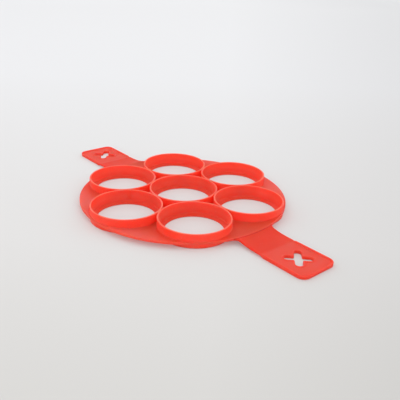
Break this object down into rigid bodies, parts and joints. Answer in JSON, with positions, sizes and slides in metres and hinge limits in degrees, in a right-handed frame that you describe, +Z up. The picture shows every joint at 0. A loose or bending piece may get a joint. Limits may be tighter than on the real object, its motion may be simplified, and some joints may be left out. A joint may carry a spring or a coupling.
{
  "type": "egg ring",
  "caption": "Silicone mould of open rings on a round web, for shaping fried eggs or small pancakes in a pan, with a flat handle and a cross-shaped hanging hole at each end.",
  "frame": {"origin": "on the table, below the centre of the middle ring, which is the centre of the base of the bounding box", "axes": "+X along the front handle, away from the rings; +Y across the handles; +Z up, out of the rings' open rims"},
  "size_m": [0.38, 0.2222, 0.0144],
  "materials": {
    "web_silicone": "satin red silicone, slightly paler where light grazes it",
    "wall_silicone": "satin red silicone",
    "skirt_silicone": "satin red silicone",
    "handle_silicone": "matte red silicone"
  },
  "bodies": {
    "root": {"web_plate": "web_silicone", "ring_wall_centre": "wall_silicone", "ring_wall_1": "wall_silicone", "ring_wall_2": "wall_silicone", "ring_wall_3": "wall_silicone", "ring_wall_4": "wall_silicone", "ring_wall_5": "wall_silicone", "ring_wall_6": "wall_silicone", "seal_skirt_centre": "skirt_silicone", "seal_skirt_1": "skirt_silicone", "seal_skirt_2": "skirt_silicone", "seal_skirt_3": "skirt_silicone", "seal_skirt_4": "skirt_silicone", "seal_skirt_5": "skirt_silicone", "seal_skirt_6": "skirt_silicone", "front_handle": "handle_silicone", "rear_handle": "handle_silicone"}
  },
  "joints": []
}
